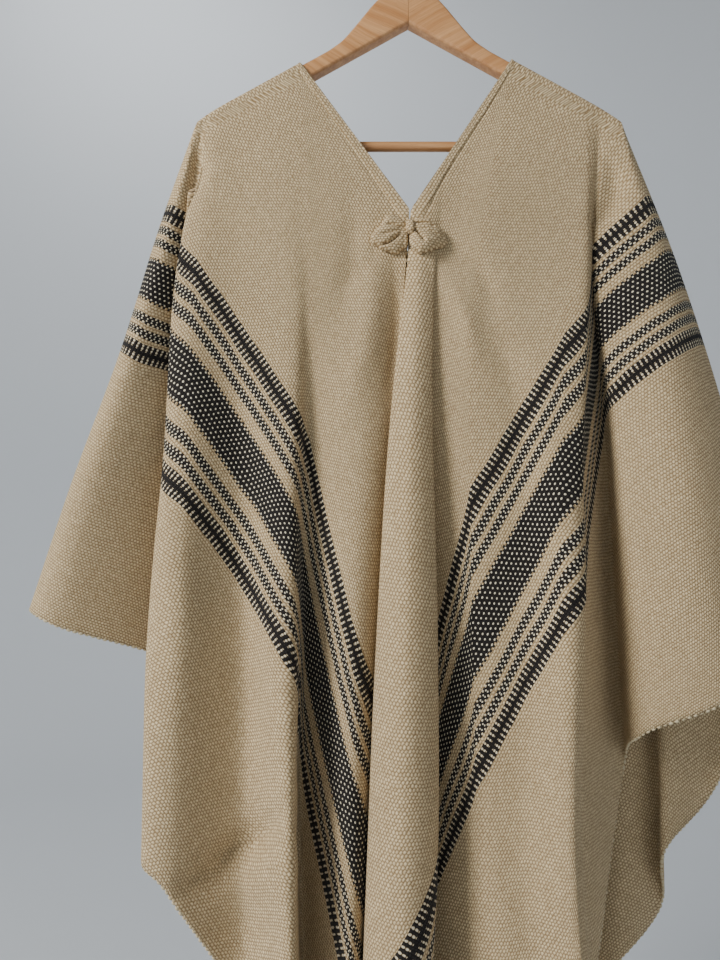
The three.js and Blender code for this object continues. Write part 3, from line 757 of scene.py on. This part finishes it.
RIGHT_BACK = (
    ("silhouette", 0, (.268, .305, .335, .364), (0, 0, 0, 0), -.753, -.307, -.461, .64),
    ("sleeve back", .007, (.268, .297, .312, .308), (.018, .028, .036, .036), -.901, -.33, -.5, .64),
    ("sleeve crease", .016, (.244, .251, .252, .247), (.012, .014, .016, .018), -.957, -.34, -.52, .64),
    ("sleeve edge", .03, (.232, .243, .251, .253), (.02, .028, .04, .048), -1.022, -.35, -.56, .64),
    ("fold valley", .044, (.202, .206, .207, .205), (.018, .024, .03, .034), -1.067, -.376, -.62, .64),
    ("fold edge", .062, (.168, .165, .164, .163), (.028, .044, .056, .062), -1.126, -.439, -.69, .64),
    ("middle", .1, (.122, .115, .112, .111), (.024, .034, .042, .046), -1.148, -.516, -.77, .62),
    ("hollow", .133, (.086, .084, .082, .08), (.022, .03, .036, .04), -1.165, -.564, -.822, .6),
    ("back crest", .262, (.056, .058, .06, .062), (.026, .044, .054, .06), -1.176, -.604, -.868, .57),
    ("back slope", .29, (.036, .038, .04, .042), (.024, .036, .044, .048), -1.18, -.634, -.9, .55),
    ("back rise", .308, (.024, .025, .026, .028), (.023, .031, .037, .04), -1.182, -.655, -.92, .54),
    ("back flat", .321, (.012, .012, .012, .012), (.022, .028, .032, .034), -1.183, -.675, -.945, .52),
    ("seam", 0, (-.001, -.002, -.003, -.004), (.018, .022, .026, .028), -1.184, -.693, -.964, .505),
)
RIGHT_SHOULDER = {"side": 1, "ridge": 0.133, "neck": 0.107, "lip": 0.009}
RIGHT_CREASES = (
    ("front", 0.203, -0.26, 0.186, -0.35, -0.008, 0.012),
    ("front", 0.245, -0.3, 0.3, -0.5, -0.003, 0.014),
    ("front", 0.018, -0.375, 0.06, -0.5, 0.0045, 0.009),
    ("front", 0.03, -0.36, 0.085, -0.44, -0.004, 0.008),
    ("front", 0.06, -0.4, 0.11, -0.62, -0.004, 0.014),
    ("front", 0.1, -0.5, 0.16, -0.85, 0.004, 0.02),
    ("front", 0.14, -0.8, 0.11, -1.1, -0.005, 0.02),
    ("front", 0.05, -0.88, 0.09, -1.15, 0.004, 0.016),
    ("back", 0.08, -0.4, 0.15, -0.8, 0.004, 0.02),
    ("back", 0.16, -0.3, 0.22, -0.6, -0.005, 0.015),
    ("back", 0.06, -0.7, 0.1, -1.1, -0.006, 0.022),
    ("back", 0.05, -0.3, 0.08, -0.4, -0.004, 0.01),
    ("back", 0.22, -0.55, 0.25, -0.9, 0.003, 0.014),
)
right_half, right_grids = woven_half("right_half", RIGHT_FRONT, RIGHT_BACK, RIGHT_SHOULDER, RIGHT_CREASES)
right_half.data.materials.append(wool)
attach(right_half, "root")
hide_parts("right_panel")


# Neck hem and seams
# The neck edges are turned under and sewn down by hand in cream wool. The same thread joins the two halves
# below the neck, at the front and at the back.
STITCH_PITCH = 0.0052
STITCH_LENGTH = 0.0024
STITCH_RADIUS = 0.0003
STITCH_SUNK = 0.0001
SEAM_PITCH = 0.0085
SEAM_STITCH_LENGTH = 0.0042
SEAM_STITCH_RADIUS = 0.0005
SEAM_STITCH_PROUD = 0.0016
SEAM_STITCH_TILT = 0.35
FIRST_FACING_ROW = 3


def line_across(grids, layer, across, lift):
    """The points of a layer's columns below the neck edge at a place across the strip, lifted off the cloth.
    The first rows' normals point over the shoulder, so each is taken from the fourth row on."""
    grid, uv = grids[layer]
    facing = -1 if layer == "front" else 1
    normal = np.cross(np.gradient(grid, axis=0), np.gradient(grid, axis=1))
    normal /= np.maximum(np.linalg.norm(normal, axis=2, keepdims=True), 1e-12)
    normal *= np.where(normal[:, :, 1:2] * facing < 0, -1, 1)
    found = []
    for column, ways, out in zip(grid, uv, normal):
        if ways[0, 1] > 1e-4:
            continue
        place = np.interp(across, ways[:, 1], np.arange(len(column)))
        row = min(int(place), len(column) - 2)
        part = place - row
        point = column[row] + part * (column[row + 1] - column[row])
        found.append(point + out[max(row, FIRST_FACING_ROW)] * lift)
    return found


def stitched(name, points, pitch, length, radius, material, tilt=0.0):
    """Stitches that follow a line: rounded thread ends set at an even pitch along it."""
    mesh = bpy.data.meshes.new(name)
    mesh.from_pydata([tuple(map(float, p)) for p in points], [(i, i + 1) for i in range(len(points) - 1)], [])
    made = bpy.data.objects.new(name, mesh)
    scene.collection.objects.link(made)
    tree = bpy.data.node_groups.get("stitches") or stitch_nodes()
    way = made.modifiers.new("stitches", "NODES")
    way.node_group = tree
    values = {"Pitch": pitch, "Length": length, "Radius": radius, "Tilt": tilt, "Thread": material}
    for item in tree.interface.items_tree:
        if item.in_out == "INPUT" and item.name in values:
            way[item.identifier] = values[item.name]
    applied(made)
    made.data.shade_smooth()
    return made


def stitch_nodes():
    """The node group behind stitched(): a line in, one small capsule of thread for each stitch out."""
    tree = bpy.data.node_groups.new("stitches", "GeometryNodeTree")
    face = tree.interface
    face.new_socket("Geometry", in_out="INPUT", socket_type="NodeSocketGeometry")
    for name in ("Pitch", "Length", "Radius", "Tilt"):
        face.new_socket(name, in_out="INPUT", socket_type="NodeSocketFloat")
    face.new_socket("Thread", in_out="INPUT", socket_type="NodeSocketMaterial")
    face.new_socket("Geometry", in_out="OUTPUT", socket_type="NodeSocketGeometry")
    given = Number(tree, tree.nodes.new("NodeGroupInput").outputs["Geometry"])
    value = {name: Number(tree, given.socket.node.outputs[name]) for name in ("Pitch", "Length", "Radius")}
    tilt = Number(tree, given.socket.node.outputs["Tilt"])
    thread = Number(tree, given.socket.node.outputs["Thread"])
    curve = given.node("GeometryNodeMeshToCurve", {}, {"Mesh": given})
    spaced = {"Curve": curve, "Length": value["Pitch"]}
    dots = given.node("GeometryNodeCurveToPoints", {"mode": "LENGTH"}, spaced)
    turn = Number(tree, dots.socket.node.outputs["Rotation"])
    tilted = given.node(
        "FunctionNodeRotateRotation",
        {"rotation_space": "LOCAL"},
        {"Rotation": turn, "Rotate By": given.node("ShaderNodeCombineXYZ", {}, {"X": tilt})},
    )
    ball = given.node("GeometryNodeMeshUVSphere", {}, {"Segments": 8, "Rings": 6, "Radius": 1.0})
    size = given.node(
        "ShaderNodeCombineXYZ", {}, {"X": value["Radius"], "Y": value["Radius"], "Z": value["Length"] * 0.5}
    )
    capsule = given.node("GeometryNodeTransform", {}, {"Geometry": ball, "Scale": size})
    uneven = given.node(
        "FunctionNodeRandomValue", {"data_type": "FLOAT"}, {2: 0.82, 3: 1.12, "Seed": 5}, 1
    )
    placed = given.node(
        "GeometryNodeInstanceOnPoints",
        {},
        {"Points": dots, "Instance": capsule, "Rotation": tilted, "Scale": uneven},
    )
    real = given.node("GeometryNodeRealizeInstances", {}, {"Geometry": placed})
    done = given.node("GeometryNodeSetMaterial", {}, {"Geometry": real, "Material": thread})
    tree.links.new(done.socket, tree.nodes.new("NodeGroupOutput").inputs["Geometry"])
    return tree


def thread_material():
    made = plain_material("cream thread", linear(205, 190, 155)[:3], 0.85)
    tree = made.node_tree
    place = Number(tree, tree.nodes.new("ShaderNodeTexCoord").outputs["Object"])
    fibres = place.node("ShaderNodeTexNoise", {}, {"Vector": place, "Scale": 1800.0, "Detail": 2.0})
    bump = place.node("ShaderNodeBump", {}, {"Height": fibres, "Strength": 0.4, "Distance": 0.0003})
    tree.links.new(bump.socket, tree.nodes["Principled BSDF"].inputs["Normal"])
    return made


thread = thread_material()
sewing = {"left": [], "right": []}
for half, grids in (("left", left_grids), ("right", right_grids)):
    for layer in ("front", "back"):
        line = line_across(grids, layer, HEM_WIDTH, CLOTH / 2 - STITCH_SUNK)[2:]
        name = f"{half}_neck_stitches_{layer}"
        sewing[half].append(stitched(name, line, STITCH_PITCH, STITCH_LENGTH, STITCH_RADIUS, thread))
for layer, facing in (("front", -1), ("back", 1)):
    grid, _ = left_grids[layer]
    line = grid[-1, 8:-1:2] + [CLOTH / 2 + SEAM_GAP / 2, facing * SEAM_STITCH_PROUD, 0]
    size = (SEAM_PITCH, SEAM_STITCH_LENGTH, SEAM_STITCH_RADIUS)
    sewing["right"].append(stitched(f"{layer}_seam_stitches", line, *size, thread, SEAM_STITCH_TILT))
for pieces in sewing.values():
    for piece in pieces:
        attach(piece, "root")


# Hem
# The lower selvedge of each half. The crossing thread turns back round the last long thread there and stands
# out in small teeth of cream wool.
TOOTH_PITCH = 0.0056
TOOTH_LENGTH = 0.0046
TOOTH_RADIUS = 0.0016
for half, grids in (("left", left_grids), ("right", right_grids)):
    line = [*grids["front"][0][::-1, -1], *grids["back"][0][1:, -1]]
    teeth = stitched(f"{half}_hem_teeth", line, TOOTH_PITCH, TOOTH_LENGTH, TOOTH_RADIUS, thread)
    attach(teeth, "root")
    sewing[half].append(teeth)


# Bow
# A strip of the same plain cloth, tied into a flat bow of two unequal wings with a small knot, and sewn to
# the cloth where the neck edges meet. Its outlines are x and z of a few points round each piece.
LEFT_WING = (
    (-.005, -.3418), (-.0119, -.336), (-.0175, -.3329), (-.0232, -.334), (-.0278, -.3408),
    (-.0325, -.3462), (-.0372, -.3516), (-.0403, -.3568), (-.0387, -.3621), (-.0326, -.3665),
    (-.0288, -.3695), (-.0204, -.3723), (-.0148, -.3740), (-.0090, -.3700), (-.0036, -.3655),
    (-.0030, -.3544),
)
RIGHT_WING = (
    (-.0001, -.3433), (.0051, -.3394), (.0107, -.3380), (.0173, -.3394), (.0214, -.3428), (.0275, -.3472),
    (.0321, -.3516), (.0363, -.3593), (.0349, -.3641), (.0320, -.3671), (.0235, -.3704), (.0160, -.3738),
    (.0085, -.3766), (.0049, -.3738), (.0004, -.3690), (-.0020, -.3610), (-.0014, -.3544),
)
KNOT = (
    (-.0048, -.3425), (-.001, -.3408), (.0026, -.343), (.0032, -.348), (.0026, -.3535), (-.0008, -.3556),
    (-.0044, -.353), (-.0054, -.3475),
)
# Each crease has x and z of three points along it, its depth and its half width.
LEFT_WING_CREASES = (
    (-.0090, -.3530, -.0194, -.3622, -.0290, -.3660, 0.0065, 0.0013),
    (-.0250, -.3440, -.0152, -.3462, -.0060, -.3484, 0.004, 0.0014),
    (-.0300, -.3560, -.0180, -.3530, -.0070, -.3500, 0.0022, 0.0015),
)
RIGHT_WING_CREASES = (
    (.0020, -.3510, .0070, -.3560, .0124, -.3645, 0.0068, 0.0013),
    (.0040, -.3448, .0143, -.3448, .0260, -.3500, 0.0045, 0.0014),
    (.0060, -.3500, .0180, -.3545, .0300, -.3600, 0.0022, 0.0016),
)
BOW_BACK_GAP = 0.0006
BOW_EDGE = 0.0003
BELOW_BAND = 0.45


def closed_line(corners, steps):
    """A smooth closed line through corners, with so many points from each corner to the next."""
    around = np.array([corners[-1], *corners, corners[0], corners[1]])
    places = np.arange(len(corners) * steps) / steps
    return np.stack([smooth_along(around[:, k], places + 1) for k in range(2)], axis=1)


def cloth_front(trees, x, z):
    """The y of the foremost cloth at x and z."""
    found = [tree.ray_cast((x, -1, z), (0, 1, 0))[0] for tree in trees]
    return min(p.y for p in found if p is not None)


def tied_piece(name, corners, creases, height, rise, trees):
    """A soft lump with this outline: its back flat before the cloth, its front swollen and creased. Its uv
    map is plain cream cloth."""
    steps, rings = 6, 18
    line = closed_line(corners, steps)
    middle = line.mean(axis=0)
    count = len(line)
    points, uv = [], []

    def seat(x, z):
        around = [(x + dx, z + dz) for dx in (-0.004, 0, 0.004) for dz in (-0.005, 0, 0.005)]
        depths = [cloth_front(trees, *p) for p in around]
        return 0.5 * min(depths) + 0.5 * sum(sorted(depths)[:5]) / 5

    for ring in range(rings + 1):
        share = 1 - (ring / rings) ** 1.4 if ring < rings else 0
        for x, z in middle + (line - middle) * share:
            lift = height * (1 - share**3.2) ** 0.55
            for x0, z0, x1, z1, x2, z2, depth, half_width in creases:
                way = smooth_along([[x0, x1, x2], [z0, z1, z2]], np.tile(np.linspace(0, 1.999, 25), (2, 1))).T
                near = np.linalg.norm(way - [x, z], axis=1)
                k = near.argmin()
                fade = min(1, (min(k, 24 - k) + 2) / 6)
                lift -= min(depth, 0.85 * lift) * fade * math.exp(-((near[k] / half_width) ** 2))
            points.append((x, seat(x, z) - BOW_BACK_GAP - BOW_EDGE - rise - lift, z))
            uv.append((x, z + BELOW_BAND))
            if ring == rings:
                break
    top = len(points) - 1
    for x, z in line:
        points.append((x, seat(x, z) - BOW_BACK_GAP, z))
        uv.append((x, z + BELOW_BAND))
    points.append((*middle[:1], seat(*middle) - BOW_BACK_GAP, middle[1]))
    uv.append((middle[0], middle[1] + BELOW_BAND))
    back = top + 1
    faces = []
    for ring in range(rings - 1):
        for k in range(count):
            a, b = ring * count + k, ring * count + (k + 1) % count
            faces.append((a, b, b + count, a + count))
    for k in range(count):
        after = (k + 1) % count
        faces.append(((rings - 1) * count + k, (rings - 1) * count + after, top))
        faces.append((after, k, back + k, back + after))
        faces.append((back + after, back + k, back + count))
    made = mesh_object(name, points, faces)
    mesh = bmesh.new()
    mesh.from_mesh(made.data)
    bmesh.ops.recalc_face_normals(mesh, faces=mesh.faces)
    mesh.to_mesh(made.data)
    mesh.free()
    strip_maps(made, np.array(uv)[:, [0, 1, 1]])
    made.data.materials.append(wool)
    return made


halves = [BVHTree.FromObject(o, bpy.context.evaluated_depsgraph_get()) for o in (left_half, right_half)]
bow = [
    tied_piece("bow_left_wing", LEFT_WING, LEFT_WING_CREASES, 0.0085, 0.0006, halves),
    tied_piece("bow_right_wing", RIGHT_WING, RIGHT_WING_CREASES, 0.0085, 0.0006, halves),
]
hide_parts("bow_left_loop")
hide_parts("bow_right_loop")
bow.append(tied_piece("bow_middle", KNOT, (), 0.0065, 0.0045, halves))
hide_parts("bow_knot")
for piece in bow:
    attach(piece, "root")


# Hanger
# Two flat arms of pale beech, sawn to shape with rounded edges and joined on a mitre under the hook. A round
# dowel is let into both heels. Clear varnish.
HANGER_HALF = 0.212
HANGER_THICKNESS = 0.015
ARM_HEIGHT = 0.017
HEEL_INNER = 0.2
HEEL_BOTTOM = -0.26
EDGE_ROUND = 0.003
UNDERSIDE_APEX = -0.118
UNDERSIDE_SLOPE = 0.585
CROWN = (
    (0, -.078), (.014, -.08), (.026, -.087), (.037, -.098), (.048, -.112), (.059, -.126), (.07, -.1385),
    (.084, ARM_APEX - SHOULDER_SLOPE * .084),
)
BAR_RADIUS = 0.005
BAR_HEIGHT = -0.25
BAR_END = 0.2067
SHARP_ANGLE = 35


def wood_material(name, slope, shift):
    """Varnished beech with its grain along a line that falls by slope for each metre of x."""
    made = plain_material(name, (0.6, 0.4, 0.2), 0.34)
    tree = made.node_tree
    shader = tree.nodes["Principled BSDF"]
    shader.inputs["Coat Weight"].default_value = 0.25
    shader.inputs["Coat Roughness"].default_value = 0.25
    place = Number(tree, tree.nodes.new("ShaderNodeTexCoord").outputs["Object"])
    split = place.node("ShaderNodeSeparateXYZ", {}, {0: place})
    x, y, z = (Number(tree, split.socket.node.outputs[k]) for k in range(3))
    length = math.hypot(1, slope)
    along = (x - z * slope) / length
    beside = (z + x * slope) / length
    wander = place.node("ShaderNodeTexNoise", {}, {"Vector": place, "Scale": 9.0, "Detail": 2.0})
    stretched = {"X": along * 6 + shift, "Y": beside * 170 + wander * 3, "Z": y * 170 + shift}
    ways = place.node("ShaderNodeCombineXYZ", {}, stretched)
    fine = {"Vector": ways, "Scale": 1.0, "Detail": 5.0, "Roughness": 0.65}
    grain = place.node("ShaderNodeTexNoise", {}, fine)
    flecks_at = place.node("ShaderNodeCombineXYZ", {}, {"X": along * 90, "Y": beside * 1100, "Z": y * 1100})
    flecks = place.node("ShaderNodeTexNoise", {}, {"Vector": flecks_at, "Scale": 1.0, "Detail": 2.0})
    depth = ((grain - 0.3) * 2.2).limited()
    base = depth.color(linear(176, 118, 68), linear(222, 170, 116))
    dark = ((flecks - 0.6) * 5).limited() * 0.5
    tree.links.new(dark.color(base, linear(140, 90, 50)).socket, shader.inputs["Base Color"])
    tree.links.new((0.3 + grain * 0.16).socket, shader.inputs["Roughness"])
    bump = place.node("ShaderNodeBump", {}, {"Height": grain, "Strength": 0.12, "Distance": 0.0003})
    tree.links.new(bump.socket, shader.inputs["Normal"])
    return made


def bent(start, control, end, steps):
    """The points of a simple curve after its start."""
    share = np.linspace(0, 1, steps + 1)[1:, None]
    start, control, end = map(np.array, (start, control, end))
    return list((1 - share) ** 2 * start + 2 * share * (1 - share) * control + share**2 * end)


def arm_outline():
    top = lambda x: ARM_APEX - SHOULDER_SLOPE * x
    under = lambda x: UNDERSIDE_APEX - UNDERSIDE_SLOPE * x
    line = [np.array((-0.01, UNDERSIDE_APEX)), np.array((0, UNDERSIDE_APEX))]
    line += [np.array((x, under(x))) for x in np.linspace(0.01, HEEL_INNER - 0.03, 12)]
    line += bent(line[-1], (HEEL_INNER, top(HEEL_INNER) - ARM_HEIGHT), (HEEL_INNER, HEEL_BOTTOM + 0.006), 12)
    line += bent(line[-1], (HEEL_INNER, HEEL_BOTTOM), (HEEL_INNER + 0.006, HEEL_BOTTOM), 6)
    line += bent(line[-1], (HANGER_HALF, HEEL_BOTTOM), (HANGER_HALF, top(HANGER_HALF) - 0.014), 10)
    shoulder_end = (HANGER_HALF - 0.028, top(HANGER_HALF - 0.028))
    line += bent(line[-1], (HANGER_HALF - 0.003, top(HANGER_HALF) - 0.003), shoulder_end, 12)
    line += [np.array((x, top(x))) for x in np.linspace(HANGER_HALF - 0.036, 0.094, 8)]
    crown = np.array(CROWN)
    places = np.linspace(0, len(CROWN) - 1, 57)[::-1]
    line += list(np.stack([smooth_along(crown[:, k], places) for k in range(2)], axis=1))
    line.append(np.array((-0.01, CROWN[0][1])))
    return line


def hanger_arm(name, side):
    """The outline as a board with rounded edges, cut square across on the mitre, with the dowel's socket."""
    mesh = bmesh.new()
    half = HANGER_THICKNESS / 2
    corners = [mesh.verts.new((x, -half, z)) for x, z in arm_outline()]
    face = mesh.faces.new(corners)
    made = bmesh.ops.extrude_face_region(mesh, geom=[face])["geom"]
    moved = [v for v in made if isinstance(v, bmesh.types.BMVert)]
    bmesh.ops.translate(mesh, vec=(0, HANGER_THICKNESS, 0), verts=moved)
    rims = [e for e in mesh.edges if abs(e.verts[0].co.y - e.verts[1].co.y) < 1e-6]
    bmesh.ops.bevel(mesh, geom=rims, offset=EDGE_ROUND, segments=5, profile=0.5, affect="EDGES")
    everything = mesh.verts[:] + mesh.edges[:] + mesh.faces[:]
    mitre = {"plane_co": (SEAM_GAP / 2, 0, 0), "plane_no": (1, 0, 0)}
    bmesh.ops.bisect_plane(mesh, geom=everything, clear_inner=True, **mitre)
    bmesh.ops.holes_fill(mesh, edges=[e for e in mesh.edges if e.is_boundary])
    if side < 0:
        bmesh.ops.scale(mesh, vec=(-1, 1, 1), verts=mesh.verts)
    bmesh.ops.recalc_face_normals(mesh, faces=mesh.faces)
    made = mesh_object(name, [], [])
    mesh.to_mesh(made.data)
    mesh.free()
    made.data.materials.append(wood_material(name + "_beech", -side * SHOULDER_SLOPE, 3.7 * side))
    bottom = side * (BAR_END + SEAM_GAP)
    socket = round_bar("socket", side * (HEEL_INNER - 0.02), bottom, BAR_RADIUS + SEAM_GAP)
    cut = made.modifiers.new("socket", "BOOLEAN")
    cut.operation = "DIFFERENCE"
    cut.object = socket
    applied(made)
    bpy.data.objects.remove(socket)
    made.data.shade_smooth()
    sharp_edges(made, SHARP_ANGLE)
    return made


def sharp_edges(made, degrees):
    """Marks edges sharper than an angle, so that smooth shading stops there."""
    mesh = bmesh.new()
    mesh.from_mesh(made.data)
    for edge in mesh.edges:
        edge.smooth = len(edge.link_faces) == 2 and edge.calc_face_angle() < math.radians(degrees)
    mesh.to_mesh(made.data)
    mesh.free()


def round_bar(name, start, end, radius):
    """A round bar along x at the dowel's height."""
    mesh = bmesh.new()
    turn = Matrix.Translation(((start + end) / 2, 0, BAR_HEIGHT)) @ Matrix.Rotation(math.pi / 2, 4, "Y")
    bmesh.ops.create_cone(
        mesh, cap_ends=True, segments=48, radius1=radius, radius2=radius, depth=abs(end - start), matrix=turn
    )
    made = mesh_object(name, [], [])
    mesh.to_mesh(made.data)
    mesh.free()
    made.data.shade_smooth()
    sharp_edges(made, SHARP_ANGLE)
    return made


arms = [hanger_arm("hanger_left", -1), hanger_arm("hanger_right", 1)]
dowel = round_bar("hanger_dowel", -BAR_END, BAR_END, BAR_RADIUS)
dowel.data.materials.append(wood_material("dowel_beech", 0, 11.0))
for piece, node in ((arms[0], "hanger_arm_left"), (arms[1], "hanger_arm_right"), (dowel, "hanger_bar")):
    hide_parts(node)
    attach(piece, "root")


# Hook
# Plated steel wire, 4 mm thick, bent into an open hook with its end cut square, and let into the top of the
# hanger.
WIRE_RADIUS = 0.002
HOOK_RADIUS = 0.022
HOOK_MIDDLE = -0.02


def hook():
    line = [(0, -0.0777), (0, -0.066), (0.0015, -0.054)]
    for degrees in range(-48, 205, 18):
        angle = math.radians(degrees)
        line.append((HOOK_RADIUS * math.cos(angle), HOOK_RADIUS * math.sin(angle) + HOOK_MIDDLE))
    line = np.array(line)
    places = np.linspace(0, len(line) - 1, 12 * (len(line) - 1) + 1)
    way = np.stack([smooth_along(line[:, k], places) for k in range(2)], axis=1)
    forward = np.gradient(way, axis=0)
    forward /= np.linalg.norm(forward, axis=1, keepdims=True)
    sides = 20
    points = []
    for (x, z), (fx, fz) in zip(way, forward):
        for k in range(sides):
            angle = 2 * math.pi * k / sides
            out = WIRE_RADIUS * math.cos(angle)
            points.append((x - fz * out, WIRE_RADIUS * math.sin(angle), z + fx * out))
    faces = []
    for ring in range(len(way) - 1):
        for k in range(sides):
            a, b = ring * sides + k, ring * sides + (k + 1) % sides
            faces.append((a, b, b + sides, a + sides))
    last = (len(way) - 1) * sides
    faces.append(tuple(range(sides))[::-1])
    faces.append(tuple(last + k for k in range(sides)))
    made = mesh_object("hook", points, faces)
    mesh = bmesh.new()
    mesh.from_mesh(made.data)
    bmesh.ops.recalc_face_normals(mesh, faces=mesh.faces)
    mesh.to_mesh(made.data)
    mesh.free()
    sharp_edges(made, SHARP_ANGLE)
    return made


def steel_material():
    made = plain_material("plated steel", (0.62, 0.62, 0.61), 0.22)
    tree = made.node_tree
    shader = tree.nodes["Principled BSDF"]
    shader.inputs["Metallic"].default_value = 1
    place = Number(tree, tree.nodes.new("ShaderNodeTexCoord").outputs["Object"])
    wear = place.node("ShaderNodeTexNoise", {}, {"Vector": place, "Scale": 220.0, "Detail": 3.0})
    tree.links.new((0.16 + wear * 0.14).socket, shader.inputs["Roughness"])
    return made


wire = hook()
wire.data.materials.append(steel_material())
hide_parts("hanger_hook")
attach(wire, "root")
